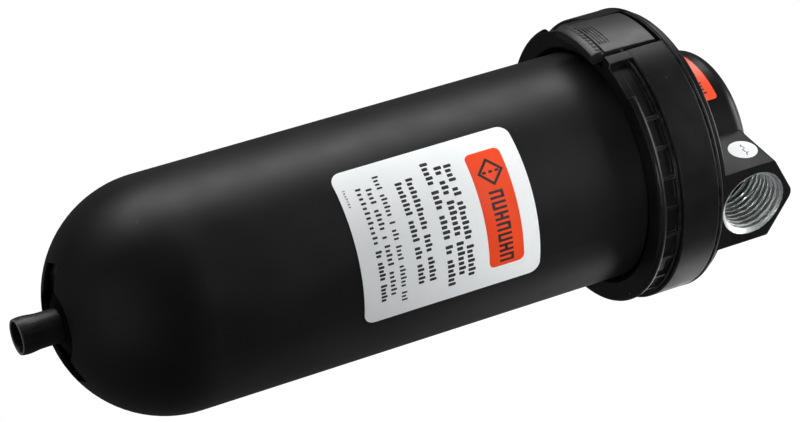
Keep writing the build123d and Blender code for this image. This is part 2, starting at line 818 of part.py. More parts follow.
nut_turned = turned(
    [
        (stem_fit_radius, drain_nut_bottom),
        (drain_nut_nose, drain_nut_bottom),
        (drain_nut_radius, bowl_flat_z - 1.0),
        (drain_nut_radius, bowl_flat_z),
        (drain_shank_radius, bowl_flat_z),
        (drain_shank_radius, shank_z - 0.1),
        (stem_fit_radius, shank_z - 0.1),
    ]
)
with BuildPart() as drain_nut:
    add(nut_turned)
finish_piece(drain_nut, "drain_nut")

stem_bore = tube_radius - tube_wall
stem_top = ledge_z + 0.1 + stem_flange_height
stem_flange_radius = column_bore - 0.3
stem_turned = turned(
    [
        (stem_bore, 0),
        (tube_tip_radius, 0),
        (tube_tip_radius, tube_tip_length),
        (tube_radius, tube_tip_length + 0.3),
        (tube_radius, ledge_z + 0.1),
        (stem_flange_radius, ledge_z + 0.1),
        (stem_flange_radius, stem_top),
        (stem_bore, stem_top),
    ]
)
push_pin_top = nozzle_z - stem_travel - 0.3
with BuildPart() as drain_tube:
    add(stem_turned)
    with BuildSketch(Plane.XY.offset(stem_top - 1.2)):
        Rectangle(2 * stem_bore + 1, 1.6)
    extrude(amount=1.2)
    with BuildSketch(Plane.XY.offset(stem_top - 1.2)):
        Circle(nozzle_hole - 0.3)
    extrude(amount=push_pin_top - stem_top + 1.2)
finish_piece(drain_tube, "drain_tube")

drain_coil_radius = (stem_bore + stem_flange_radius) / 2 + 0.2
drain_coil_low = stem_top + drain_wire / 2 + 0.05
drain_coil_rise = ceiling_z - drain_wire / 2 - 0.05 - drain_coil_low
with BuildPart() as drain_spring:
    with BuildLine() as drain_coil:
        Helix(
            pitch=drain_coil_rise / 5,
            height=drain_coil_rise,
            radius=drain_coil_radius,
            center=(0, 0, drain_coil_low),
        )
    with BuildSketch(Plane(origin=drain_coil.line @ 0, z_dir=drain_coil.line % 0)):
        Circle(drain_wire / 2)
    sweep()
finish_piece(drain_spring, "drain_spring")

float_z = column_z + screen_wall + float_seat_gap
float_web_z = nozzle_z + 0.05 + pad_thickness - 0.6
pad_top = nozzle_z + 0.05 + pad_thickness
float_turned = turned(
    [
        (column_radius + float_bore_gap, float_z),
        (float_radius, float_z),
        (float_radius, float_z + float_length - 2),
        (float_radius - 2, float_z + float_length),
        (0, float_z + float_length),
        (0, pad_top),
        (pad_radius, pad_top),
        (pad_radius, float_web_z),
        (column_radius + float_bore_gap, float_web_z),
    ]
)
with BuildPart() as drain_float:
    add(float_turned)
finish_piece(drain_float, "drain_float")

with BuildPart() as float_pad:
    with BuildSketch(Plane.XY.offset(pad_top - pad_thickness)):
        Circle(pad_radius)
    extrude(amount=pad_thickness)
finish_piece(float_pad, "float_pad")

screen_top = float_z + float_length + float_lift + float_head_gap
screen_turned = turned(
    [
        (column_radius + 0.1, column_z),
        (screen_radius, column_z),
        (screen_radius, screen_top + screen_wall),
        (0, screen_top + screen_wall),
        (0, screen_top),
        (screen_radius - screen_wall, screen_top),
        (screen_radius - screen_wall, column_z + screen_wall),
        (column_radius + 0.1, column_z + screen_wall),
    ]
)
with BuildPart() as drain_screen:
    add(screen_turned)
    with Locations((0, 0, (column_z + screen_top) / 2)):
        with PolarLocations(screen_radius, screen_slot_count):
            Box(4, 2, screen_top - column_z - 8, mode=Mode.SUBTRACT)
finish_piece(drain_screen, "drain_screen")


# ---- labels: thin film on the guard and the head, and a round sticker ----
guard_film = sector(guard_radius, guard_radius + label_thickness, dome_centre_z + guard_label_low,
                    dome_centre_z + guard_label_high, guard_label_start, guard_label_stop)
with BuildPart() as guard_label:
    add(guard_film)
finish_piece(guard_label, "guard_label")

head_label_z = ring_top + head_label_low
head_film = sector(turret_radius, turret_radius + label_thickness, head_label_z,
                   head_label_z + head_label_height, head_label_start, head_label_stop)
with BuildPart() as head_label:
    add(head_film)
finish_piece(head_label, "head_label")

sticker_plane = Plane(
    origin=(port_reach - sticker_inset, -port_half_width, port_z + sticker_rise),
    x_dir=(1, 0, 0),
    z_dir=(0, -1, 0),
)
with BuildPart() as dot_sticker:
    with BuildSketch(sticker_plane):
        Circle(sticker_radius)
    extrude(amount=label_thickness)
finish_piece(dot_sticker, "dot_sticker")
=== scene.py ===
import json
import math

import bmesh
import bpy
from mathutils import Matrix, Vector


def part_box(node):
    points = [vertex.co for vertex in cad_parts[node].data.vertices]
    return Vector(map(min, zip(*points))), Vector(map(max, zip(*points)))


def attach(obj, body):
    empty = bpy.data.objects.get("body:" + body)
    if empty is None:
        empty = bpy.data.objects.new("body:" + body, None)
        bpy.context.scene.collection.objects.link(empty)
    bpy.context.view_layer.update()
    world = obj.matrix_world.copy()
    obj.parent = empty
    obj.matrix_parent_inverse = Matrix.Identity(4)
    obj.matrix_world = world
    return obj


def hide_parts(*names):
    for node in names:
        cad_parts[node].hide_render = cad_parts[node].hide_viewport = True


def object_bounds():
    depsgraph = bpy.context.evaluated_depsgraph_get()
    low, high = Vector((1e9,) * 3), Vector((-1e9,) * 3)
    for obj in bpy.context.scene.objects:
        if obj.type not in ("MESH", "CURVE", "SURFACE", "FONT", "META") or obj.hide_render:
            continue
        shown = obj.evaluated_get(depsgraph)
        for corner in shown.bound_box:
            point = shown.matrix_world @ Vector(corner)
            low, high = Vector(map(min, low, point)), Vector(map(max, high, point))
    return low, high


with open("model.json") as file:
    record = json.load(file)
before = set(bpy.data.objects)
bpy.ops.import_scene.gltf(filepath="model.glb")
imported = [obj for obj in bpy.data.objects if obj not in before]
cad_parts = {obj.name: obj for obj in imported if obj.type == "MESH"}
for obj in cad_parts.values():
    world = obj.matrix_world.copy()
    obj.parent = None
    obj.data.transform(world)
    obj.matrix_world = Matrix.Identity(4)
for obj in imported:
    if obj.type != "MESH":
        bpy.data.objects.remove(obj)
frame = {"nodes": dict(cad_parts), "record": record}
cad_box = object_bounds()

# Compressed air filter: looks, small printed and moulded detail, light and camera.
# Metres, in the CAD frame: +Z up the bowl, +X out of the visible port.

MM = 0.001
NODES = frame["nodes"]
MOUNTS = {mount["name"]: mount for mount in frame["record"]["mounts"]}

# ---- sizes read from the frame ----
OUTLET = MOUNTS["outlet_port"]
PORT_Z = OUTLET["pos_m"][2]
PORT_RADIUS = OUTLET["dims"]["r_mm"] * MM
PORT_DEPTH = OUTLET["dims"]["length_mm"] * MM
PORT_FACE = OUTLET["pos_m"][0] + PORT_DEPTH / 2
GUARD_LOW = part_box("bowl_guard")[0]
LABEL_LOW, LABEL_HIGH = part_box("guard_label")
TUBE_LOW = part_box("drain_tube")[0]
HEAD_LABEL_LOW, HEAD_LABEL_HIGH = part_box("head_label")
STICKER_LOW, STICKER_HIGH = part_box("dot_sticker")
CENTRE_Z = (cad_box[0][2] + cad_box[1][2]) / 2

# ---- sizes of the looks ----
GUARD_RADIUS = 35.5 * MM
TURRET_RADIUS = 26.1 * MM
FILM = 0.12 * MM                 # thickness of the label film
INK = 0.025 * MM                 # printed parts stand this far off the film
THREAD_PITCH = 25.4 / 14 * MM    # 1/2 NPT has 14 threads an inch
THREAD_DEPTH = 1.4 * MM
THREAD_TAPER = 1 / 32

# ---- the setting ----
FLOOR_Z = -2.4                   # far enough down to stay out of the low views
FLOOR_GLOW = 0.85                # emission, for camera rays only
WORLD_LIGHT = 0.09               # strength of the white that lights the filter
BACKDROP = 1.05                  # strength of the white that the camera sees


# ======================================================================
# Node helpers
# ======================================================================
class Shade:
    """One node material, with short calls for the nodes that the looks need."""

    def __init__(self, name):
        self.material = bpy.data.materials.new(name)
        self.material.use_nodes = True
        self.tree = self.material.node_tree
        self.bsdf = self.tree.nodes["Principled BSDF"]
        self.place = self.node("ShaderNodeTexCoord").outputs["Object"]

    def node(self, kind, **settings):
        made = self.tree.nodes.new(kind)
        for key, value in settings.items():
            setattr(made, key, value)
        return made

    def link(self, source, target):
        self.tree.links.new(source, target)

    def feed(self, value, socket):
        """Link a socket, or set a plain number, colour or vector."""
        if isinstance(value, bpy.types.NodeSocket):
            self.link(value, socket)
        else:
            socket.default_value = value

    def noise(self, scale, detail=3.0, roughness=0.55, where=None):
        made = self.node("ShaderNodeTexNoise")
        self.link(where or self.place, made.inputs["Vector"])
        made.inputs["Scale"].default_value = scale
        made.inputs["Detail"].default_value = detail
        made.inputs["Roughness"].default_value = roughness
        return made.outputs["Fac"]

    def cells(self, scale, feature="F1"):
        made = self.node("ShaderNodeTexVoronoi", feature=feature)
        self.link(self.place, made.inputs["Vector"])
        made.inputs["Scale"].default_value = scale
        return made.outputs["Distance"]

    def maths(self, operation, a, b=0.0, clamp=False):
        made = self.node("ShaderNodeMath", operation=operation, use_clamp=clamp)
        self.feed(a, made.inputs[0])
        self.feed(b, made.inputs[1])
        return made.outputs[0]

    def distance(self, a, b):
        """Length of an offset whose two parts are a and b."""
        squares = self.maths("ADD", self.maths("POWER", a, 2.0), self.maths("POWER", b, 2.0))
        return self.maths("SQRT", squares)

    def span(self, value, low, high, to_low=0.0, to_high=1.0, smooth=False):
        made = self.node("ShaderNodeMapRange")
        if smooth:
            made.interpolation_type = "SMOOTHSTEP"
        self.feed(value, made.inputs["Value"])
        for key, number in (("From Min", low), ("From Max", high), ("To Min", to_low), ("To Max", to_high)):
            made.inputs[key].default_value = number
        return made.outputs["Result"]

    def mix(self, factor, a, b):
        made = self.node("ShaderNodeMix", data_type="RGBA")
        self.feed(factor, made.inputs["Factor"])
        for value, socket in ((a, made.inputs[6]), (b, made.inputs[7])):
            self.feed((*value, 1.0) if isinstance(value, tuple) else value, socket)
        return made.outputs[2]

    def blend(self, factor, a, b):
        """Mix of two numbers."""
        made = self.node("ShaderNodeMix", data_type="FLOAT")
        self.feed(factor, made.inputs[0])
        self.feed(a, made.inputs[2])
        self.feed(b, made.inputs[3])
        return made.outputs[0]

    def axes(self):
        made = self.node("ShaderNodeSeparateXYZ")
        self.link(self.place, made.inputs[0])
        return made.outputs

    def edges(self, radius, low=0.02, high=0.22):
        """Mask that is 1 on sharp edges: where the rounded normal leaves the true one."""
        soft = self.node("ShaderNodeBevel", samples=6)
        soft.inputs["Radius"].default_value = radius
        true = self.node("ShaderNodeNewGeometry")
        dot = self.node("ShaderNodeVectorMath", operation="DOT_PRODUCT")
        self.link(soft.outputs[0], dot.inputs[0])
        self.link(true.outputs["Normal"], dot.inputs[1])
        away = self.maths("SUBTRACT", 1.0, dot.outputs["Value"])
        return self.span(away, low, high)

    def surface(self, color, roughness, metallic=0.0, specular=0.5):
        self.feed((*color, 1.0) if isinstance(color, tuple) else color, self.bsdf.inputs["Base Color"])
        self.feed(roughness, self.bsdf.inputs["Roughness"])
        self.feed(metallic, self.bsdf.inputs["Metallic"])
        self.bsdf.inputs["Specular IOR Level"].default_value = specular

    def bumps(self, *layers, rounded=0.0):
        """Bump layers of (height, strength, distance), the first one deepest."""
        normal = None
        if rounded:
            soft = self.node("ShaderNodeBevel", samples=6)
            soft.inputs["Radius"].default_value = rounded
            normal = soft.outputs[0]
        for height, strength, distance in layers:
            made = self.node("ShaderNodeBump")
            self.link(height, made.inputs["Height"])
            made.inputs["Strength"].default_value = strength
            made.inputs["Distance"].default_value = distance
            if normal is not None:
                self.link(normal, made.inputs["Normal"])
            normal = made.outputs[0]
        self.link(normal, self.bsdf.inputs["Normal"])


def dust(shade, scale, size):
    """Mask of a few small light specks."""
    specks = shade.span(shade.cells(scale), size * 0.6, size, 1.0, 0.0)
    patches = shade.span(shade.noise(scale * 0.23, 2.0), 0.60, 0.66)
    return shade.maths("MULTIPLY", specks, patches, clamp=True)


# ======================================================================
# Materials
# ======================================================================
def guard_paint():
    """Semi-matte black powder coat: faint cloudiness, fine orange peel and a few specks."""
    shade = Shade("guard_paint")
    clouds = shade.noise(32, 4.0, 0.6)
    color = shade.mix(shade.span(clouds, 0.35, 0.68), (0.005, 0.005, 0.0052), (0.0095, 0.0095, 0.0092))
    color = shade.mix(dust(shade, 210, 0.055), color, (0.30, 0.31, 0.30))
    # Painted highlight: sharp edges lightened in colour where light would catch their rounding.
    color = shade.mix(shade.maths("MULTIPLY", shade.edges(0.35 * MM), 0.35), color, (0.09, 0.09, 0.085))
    roughness = shade.span(shade.noise(60, 5.0, 0.6), 0.3, 0.7, 0.40, 0.50)
    shade.surface(color, roughness, specular=0.2)
    peel = shade.noise(900, 2.0, 0.5)
    grain = shade.noise(3400, 2.0, 0.6)
    shade.bumps((peel, 0.16, 0.06 * MM), (grain, 0.14, 0.03 * MM), rounded=0.25 * MM)
    return shade.material


def head_paint():
    """Black enamel on a casting, with bare bright metal in the port and round its mouth."""
    shade = Shade("head_paint")
    x, y, z = shade.axes()
    lift = shade.maths("SUBTRACT", z, PORT_Z)
    out = shade.distance(y, lift)
    reach = shade.maths("ABSOLUTE", x)
    ragged = shade.span(shade.noise(700, 4.0, 0.7), 0.25, 0.75, -0.18 * MM, 0.22 * MM)
    ring = shade.span(shade.maths("SUBTRACT", out, ragged), PORT_RADIUS + 0.20 * MM, PORT_RADIUS + 0.08 * MM)
    deep = shade.span(reach, PORT_FACE - PORT_DEPTH - 0.6 * MM, PORT_FACE - PORT_DEPTH)
    bare = shade.maths("MULTIPLY", ring, deep, clamp=True)
    clouds = shade.span(shade.noise(45, 4.0), 0.35, 0.7)
    paint = shade.mix(clouds, (0.004, 0.004, 0.0042), (0.007, 0.007, 0.007))
    paint = shade.mix(dust(shade, 260, 0.05), paint, (0.25, 0.26, 0.25))
    # Edges lightened in colour: partly rubbed wear, partly a painted highlight where light would catch the
    # rounded edges.
    edge_highlight_and_wear = shade.maths("MULTIPLY", shade.edges(0.5 * MM), shade.span(shade.noise(240, 4.0), 0.45, 0.7))
    paint = shade.mix(shade.maths("MULTIPLY", edge_highlight_and_wear, 0.5), paint, (0.14, 0.14, 0.135))
    grain = shade.span(shade.noise(900, 4.0, 0.7), 0.3, 0.7)
    metal = shade.mix(grain, (0.30, 0.33, 0.33), (0.62, 0.66, 0.66))
    shade.surface(
        shade.mix(bare, paint, metal),
        shade.blend(bare, shade.span(shade.noise(80, 4.0), 0.3, 0.7, 0.30, 0.42), 0.42),
        shade.blend(bare, 0.0, 0.85),
        specular=0.12,
    )
    cast = shade.noise(420, 4.0, 0.6)
    shade.bumps((cast, 0.20, 0.10 * MM), (shade.noise(2600, 2.0), 0.12, 0.03 * MM), rounded=0.45 * MM)
    return shade.material


def collar_plastic(name="collar_plastic", dark=0.0045, gloss=0.30, edge_highlight_and_wear_strength=0.5, specular=0.16):
    """Satin black moulding with fine scratches; edges lightened in colour, partly rubbed wear and partly a
    painted highlight.
    """
    shade = Shade(name)
    clouds = shade.span(shade.noise(55, 4.0), 0.35, 0.7)
    color = shade.mix(clouds, (dark, dark, dark * 1.03), (dark * 1.6, dark * 1.6, dark * 1.6))
    # Edges lightened in colour: partly rubbed wear, partly a painted highlight where light would catch the
    # rounded edges.
    edge_highlight_and_wear = shade.maths("MULTIPLY", shade.edges(0.55 * MM), shade.span(shade.noise(300, 5.0, 0.7), 0.42, 0.66))
    color = shade.mix(shade.maths("MULTIPLY", edge_highlight_and_wear, edge_highlight_and_wear_strength), color, (0.20, 0.20, 0.195))
    color = shade.mix(dust(shade, 240, 0.06), color, (0.35, 0.36, 0.35))
    roughness = shade.span(shade.noise(140, 5.0, 0.65), 0.3, 0.7, gloss, gloss + 0.12)
    shade.surface(color, roughness, specular=specular)
    shade.bumps(
        (shade.noise(260, 3.0), 0.10, 0.12 * MM),
        (shade.noise(2200, 2.0), 0.10, 0.03 * MM),
        rounded=0.4 * MM,
    )
    return shade.material


def bare_thread():
    """Cut zinc: bright crests, roots darkened as painted shade, and fine turning marks."""
    shade = Shade("bare_thread")
    y, z = shade.axes()[1:]
    lift = shade.maths("SUBTRACT", z, PORT_Z)
    out = shade.distance(y, lift)
    # Painted shade: the thread's roots are darker than its crests.
    crest_lit_root_shaded = shade.span(out, PORT_RADIUS - THREAD_DEPTH * 1.25, PORT_RADIUS - 0.1 * MM, 1.0, 0.25)
    grime = shade.span(shade.noise(500, 5.0, 0.7), 0.35, 0.75)
    color = shade.mix(crest_lit_root_shaded, (0.34, 0.36, 0.36), (0.74, 0.77, 0.77))
    color = shade.mix(shade.maths("MULTIPLY", grime, 0.35), color, (0.20, 0.21, 0.205))
    shade.surface(color, shade.span(grime, 0.0, 1.0, 0.36, 0.55), 0.55)
    turning = shade.node("ShaderNodeTexWave", wave_type="BANDS", bands_direction="X")
    shade.link(shade.place, turning.inputs["Vector"])
    turning.inputs["Scale"].default_value = 1500
    turning.inputs["Distortion"].default_value = 1.5
    shade.bumps((turning.outputs["Fac"], 0.12, 0.03 * MM), (shade.noise(1500, 4.0), 0.25, 0.05 * MM))
    return shade.material


def vinyl(name, low, high, roughness=0.34):
    """Printed label film: faint mottle, soft gloss and a little grime."""
    shade = Shade(name)
    color = shade.mix(shade.span(shade.noise(38, 4.0), 0.3, 0.7), low, high)
    grime = shade.span(shade.noise(900, 4.0, 0.7), 0.62, 0.80, 0.0, 0.22)
    color = shade.mix(grime, color, tuple(0.55 * part for part in low))
    gloss = shade.span(shade.noise(120, 3.0), 0.3, 0.7, roughness, roughness + 0.1)
    shade.surface(color, gloss)
    shade.bumps((shade.noise(150, 3.0), 0.12, 0.06 * MM), (shade.noise(1800, 2.0), 0.06, 0.02 * MM))
    return shade.material


def ink(name="label_ink", tone=0.012):
    """Black print, slightly uneven."""
    shade = Shade(name)
    color = shade.mix(shade.span(shade.noise(1400, 4.0, 0.7), 0.45, 0.75), (tone,) * 3, (tone * 4,) * 3)
    shade.surface(color, shade.span(shade.noise(300, 3.0), 0.3, 0.7, 0.38, 0.5))
    shade.bumps((shade.noise(1800, 2.0), 0.1, 0.01 * MM))
    return shade.material


def tube_plastic():
    """Slightly glossy black tube: drawn streaks along it, a paler cut rim and scuffs."""
    shade = Shade("tube_plastic")
    stretch = shade.node("ShaderNodeMapping")
    shade.link(shade.place, stretch.inputs["Vector"])
    stretch.inputs["Scale"].default_value = (1.0, 1.0, 0.12)
    streaks = shade.noise(900, 4.0, 0.6, where=stretch.outputs[0])
    z = shade.axes()[2]
    rim = shade.span(z, TUBE_LOW.z + 0.10 * MM, TUBE_LOW.z + 0.35 * MM, 1.0, 0.0)
    color = shade.mix(shade.span(streaks, 0.4, 0.7), (0.009, 0.009, 0.0095), (0.022, 0.022, 0.022))
    color = shade.mix(dust(shade, 420, 0.07), color, (0.4, 0.41, 0.4))
    color = shade.mix(rim, color, (0.17, 0.17, 0.175))
    shade.surface(color, shade.span(streaks, 0.3, 0.7, 0.36, 0.52), specular=0.3)
    shade.bumps((streaks, 0.25, 0.05 * MM), (shade.noise(260, 2.0), 0.22, 0.12 * MM), rounded=0.15 * MM)
    return shade.material


def rubber():
    """Soft matte black rubber."""
    shade = Shade("rubber")
    clouds = shade.span(shade.noise(300, 4.0), 0.35, 0.7)
    color = shade.mix(clouds, (0.008, 0.008, 0.008), (0.02, 0.02, 0.02))
    shade.surface(color, shade.span(shade.noise(120, 3.0), 0.3, 0.7, 0.50, 0.68), specular=0.35)
    shade.bumps((shade.noise(1500, 3.0), 0.15, 0.04 * MM), rounded=0.2 * MM)
    return shade.material


def steel(name="steel", bright=0.55):
    """Plain turned steel."""
    shade = Shade(name)
    color = shade.mix(shade.noise(240, 5.0, 0.7), (bright * 0.7,) * 3, (bright, bright, bright * 1.02))
    shade.surface(color, shade.span(shade.noise(700, 4.0, 0.7), 0.3, 0.7, 0.24, 0.42), 1.0)
    shade.bumps((shade.noise(1600, 4.0), 0.15, 0.03 * MM), rounded=0.2 * MM)
    return shade.material


def dark_moulding(name="dark_moulding", tone=0.03, specular=0.5):
    """Matte moulded plastic of the parts inside."""
    shade = Shade(name)
    color = shade.mix(shade.span(shade.noise(70, 4.0), 0.35, 0.7), (tone * 0.8,) * 3, (tone * 1.3,) * 3)
    shade.surface(color, shade.span(shade.noise(200, 4.0), 0.3, 0.7, 0.42, 0.55), specular=specular)
    shade.bumps((shade.noise(1300, 3.0), 0.15, 0.04 * MM), rounded=0.3 * MM)
    return shade.material


def pleated_paper():
    """Off-white pleated media: fibres, and shade that gathers in the folds."""
    shade = Shade("pleated_paper")
    x, y = shade.axes()[:2]
    out = shade.distance(x, y)
    fold = shade.span(out, 18.8 * MM, 22 * MM)
    color = shade.mix(fold, (0.50, 0.46, 0.36), (0.80, 0.77, 0.68))
    fibres = shade.span(shade.noise(1100, 5.0, 0.7), 0.35, 0.75, 0.0, 0.4)
    color = shade.mix(fibres, color, (0.62, 0.58, 0.48))
    shade.surface(color, shade.span(shade.noise(200, 3.0), 0.3, 0.7, 0.78, 0.9), specular=0.2)
    shade.bumps((shade.noise(2400, 4.0, 0.7), 0.4, 0.06 * MM))
    return shade.material


def smoked_bowl():
    """Dark smoke-tinted plastic, glossy with a light haze."""
    shade = Shade("smoked_bowl")
    haze = shade.span(shade.noise(60, 3.0), 0.3, 0.7)
    color = shade.mix(haze, (0.010, 0.011, 0.011), (0.016, 0.017, 0.017))
    shade.surface(color, shade.span(shade.noise(160, 4.0), 0.3, 0.7, 0.22, 0.34))
    shade.bsdf.inputs["Transmission Weight"].default_value = 0.15
    shade.bumps((shade.noise(180, 3.0), 0.06, 0.08 * MM))
    return shade.material


def floor_paint():
    """Pale paint with a glow that only the camera sees, so that it lights nothing."""
    shade = Shade("floor_paint")
    color = shade.mix(shade.span(shade.noise(0.9, 3.0), 0.3, 0.7), (0.86, 0.86, 0.86), (0.90, 0.90, 0.90))
    shade.surface(color, shade.span(shade.noise(3.0, 3.0), 0.3, 0.7, 0.70, 0.80))
    ray = shade.node("ShaderNodeLightPath")
    shade.link(color, shade.bsdf.inputs["Emission Color"])
    glow = shade.span(ray.outputs["Is Camera Ray"], 0.0, 1.0, 0.0, FLOOR_GLOW)
    shade.link(glow, shade.bsdf.inputs["Emission Strength"])
    shade.bumps((shade.noise(40, 3.0), 0.05, 0.5 * MM))
    return shade.material


# ======================================================================
# Mesh helpers
# ======================================================================
def new_piece(name, mesh_builder, material, body, smooth=True):
    """Object from a bmesh, riding on a CAD body."""
    mesh = bpy.data.meshes.new(name)
    bmesh.ops.recalc_face_normals(mesh_builder, faces=mesh_builder.faces)
    mesh_builder.to_mesh(mesh)
    mesh_builder.free()
    mesh.materials.append(material)
    for face in mesh.polygons:
        face.use_smooth = smooth
    piece = bpy.data.objects.new(name, mesh)
    bpy.context.scene.collection.objects.link(piece)
    if smooth:
        mesh.set_sharp_from_angle(angle=math.radians(38))
    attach(piece, body)
    return piece


def on_cylinder(radius, angle, z):
    return Vector((radius * math.cos(angle), radius * math.sin(angle), z))


def rounded_columns(width, height, corner, fine=7):
    """Columns (across, low, high) of a rectangle with round corners, centred on 0."""
    corner = min(corner, width / 2, height / 2)
    half = width / 2
    steps = [corner * (1 - math.cos(math.pi / 2 * i / fine)) for i in range(fine + 1)]
    middle = max(1, int((width - 2 * corner) / (1.2 * MM)))
    spots = [-half + step for step in steps]
    spots += [-half + corner + (width - 2 * corner) * i / middle for i in range(1, middle)]
    spots += [half - step for step in reversed(steps)]
    columns = []
    for spot in spots:
        inset = max(0.0, abs(spot) - (half - corner))
        drop = corner - math.sqrt(max(0.0, corner ** 2 - inset ** 2))
        columns.append((spot, -height / 2 + drop, height / 2 - drop))
    return columns


def add_film(builder, radius, middle_angle, middle_z, columns, thickness):
    """Thin curved plate on a cylinder, made from its columns."""
    rows = []
    for across, low, high in columns:
        angle = middle_angle + across / radius
        ring = [
            on_cylinder(radius, angle, middle_z + low),
            on_cylinder(radius + thickness, angle, middle_z + low),
            on_cylinder(radius + thickness, angle, middle_z + high),
            on_cylinder(radius, angle, middle_z + high),
        ]
        rows.append([builder.verts.new(point) for point in ring])
    for row, following in zip(rows, rows[1:]):
        for i in range(4):
            builder.faces.new((row[i], row[(i + 1) % 4], following[(i + 1) % 4], following[i]))
    builder.faces.new(rows[0])
    builder.faces.new(rows[-1])


def bar(builder, radius, start, stop, z, height, thickness=INK, corner=0.4):
    """Printed bar between two angles in degrees, its height in metres."""
    width = math.radians(stop - start) * radius
    columns = rounded_columns(width, height, corner * height)
    add_film(builder, radius, math.radians((start + stop) / 2), z, columns, thickness)


# ======================================================================
# Guard label: white film, orange panel and plain bars for print
# ======================================================================
LABEL_START = -70.0
LABEL_STOP = 6.5
HEAD_LABEL_START = -107.0
HEAD_LABEL_STOP = -56.8
LABEL_CORNER = 3.5 * MM
PANEL_START = -60.0
PANEL_STOP = -3.5
PANEL_LOW = 87.2 * MM
PANEL_HIGH = 98.8 * MM
HOLE_RADIUS = 11 * MM
DOME_Z = GUARD_LOW.z + math.sqrt(GUARD_RADIUS ** 2 - HOLE_RADIUS ** 2)
# each printed line: height above the dome's centre, first and last angle, letter height, weight, words
PRINT_LINES = (
    (81.3, -58.6, -2.7, 2.4, 0.66, (4, 2, 8, 7)),
    (78.2, -58.9, -4.6, 2.4, 0.66, (2, 3, 7, 7)),
    (74.6, -62.4, -0.1, 2.4, 0.66, (5, 4, 5, 2, 6)),
    (68.4, -57.3, -6.3, 2.2, 0.64, (12, 4, 6)),
    (64.8, -56.7, -6.5, 2.2, 0.64, (8, 5, 3, 5)),
    (59.0, -63.0, -0.2, 1.9, 0.50, (4, 6, 1, 3, 4, 6, 3)),
    (55.6, -58.0, -5.0, 1.9, 0.50, (4, 5, 1, 5, 6)),
    (52.5, -59.4, -31.0, 1.7, 0.46, (12,)),
    (52.5, -29.0, -3.3, 2.0, 0.66, (2, 5, 5)),
)
LETTER_HEIGHTS = (1.0, 0.74, 0.74, 0.94, 0.74, 1.0, 0.8)


def print_line(builder, radius, start, stop, z, height, words, weight=0.56):
    """Row of small blocks standing for words: one block for each letter, of uneven height."""
    letters = sum(words) + len(words) - 1
    step = (stop - start) / letters
    spot = start
    count = 0
    for word in words:
        for _ in range(word):
            tall = height * LETTER_HEIGHTS[count % len(LETTER_HEIGHTS)]
            bar(builder, radius, spot, spot + weight * step, z - (height - tall) / 2, tall, corner=0.12)
            spot += step
            count += 1
        spot += step


def guard_label(white, orange, black, grey):
    """The label that replaces the plain CAD film."""
    middle = math.radians((LABEL_START + LABEL_STOP) / 2)
    width = math.radians(LABEL_STOP - LABEL_START) * GUARD_RADIUS
    height = LABEL_HIGH.z - LABEL_LOW.z
    middle_z = (LABEL_HIGH.z + LABEL_LOW.z) / 2
    film = bmesh.new()
    add_film(film, GUARD_RADIUS, middle, middle_z, rounded_columns(width, height, LABEL_CORNER), FILM)
    label = new_piece("guard_label_film", film, white, "bowl_unit")
    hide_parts("guard_label")

    face = GUARD_RADIUS + FILM
    panel = bmesh.new()
    bar(panel, face, PANEL_START, PANEL_STOP, DOME_Z + (PANEL_LOW + PANEL_HIGH) / 2,
        PANEL_HIGH - PANEL_LOW, INK, corner=0.16)
    new_piece("label_panel", panel, orange, "bowl_unit")

    printed = bmesh.new()
    for rise, start, stop, tall, weight, words in PRINT_LINES:
        print_line(printed, face, start, stop, DOME_Z + rise * MM, tall * MM, words, weight)
    over = face + INK
    heading_z = DOME_Z + (PANEL_LOW + PANEL_HIGH) / 2
    heading(printed, over, -40.5, -4.5, heading_z, 4.7 * MM, 7)
    symbol(printed, over, -49.3, DOME_Z + 93.4 * MM, 4.3 * MM, 0.75 * MM)
    new_piece("label_print", printed, black, "bowl_unit", smooth=False)

    code = bmesh.new()
    print_line(code, face, -60.6, -51.1, DOME_Z + 48.2 * MM, 0.8 * MM, (7,))
    new_piece("label_code", code, grey, "bowl_unit", smooth=False)


def heading(builder, radius, start, stop, z, height, count):
    """Heavy heading of plain marks: two upright strokes and a crossbar at one of three heights."""
    step = (stop - start) / count
    stroke = 0.9 * MM
    for place in range(count):
        left = start + place * step
        rise = (0.5, -0.5, 0.0)[place % 3] * (height - stroke)
        bar(builder, radius, left + 0.06 * step, left + 0.30 * step, z, height, corner=0.05)
        bar(builder, radius, left + 0.58 * step, left + 0.82 * step, z, height, corner=0.05)
        bar(builder, radius, left + 0.28 * step, left + 0.60 * step, z + rise, stroke, corner=0.1)


def symbol(builder, radius, middle, z, reach, stroke):
    """Diamond outline with a dashed line down it, the drawing symbol for a filter."""
    centre = math.radians(middle)
    corners = [(reach, 0.0), (0.0, reach), (-reach, 0.0), (0.0, -reach)]
    fine = 10
    outline = []
    for corner, following in zip(corners, corners[1:] + corners[:1]):
        for i in range(fine):
            share = i / fine
            outline.append((corner[0] * (1 - share) + following[0] * share,
                            corner[1] * (1 - share) + following[1] * share))
    shrink = 1 - 1.5 * stroke / reach
    rings = []
    for scale in (1.0, shrink):
        for rise in (0.0, INK):
            ring = [
                on_cylinder(radius + rise, centre + across * scale / radius, z + up * scale)
                for across, up in outline
            ]
            rings.append([builder.verts.new(point) for point in ring])
    low_out, high_out, low_in, high_in = rings
    for i in range(len(outline)):
        j = (i + 1) % len(outline)
        builder.faces.new((high_out[i], high_out[j], high_in[j], high_in[i]))
        builder.faces.new((low_out[i], low_out[j], low_in[j], low_in[i]))
        builder.faces.new((low_out[i], low_out[j], high_out[j], high_out[i]))
        builder.faces.new((low_in[i], low_in[j], high_in[j], high_in[i]))
    dash = reach * 0.30
    for place in (-1, 0, 1):
        columns = rounded_columns(stroke, dash, stroke / 4, fine=2)
        add_film(builder, radius, centre, z + place * dash * 1.6, columns, INK)


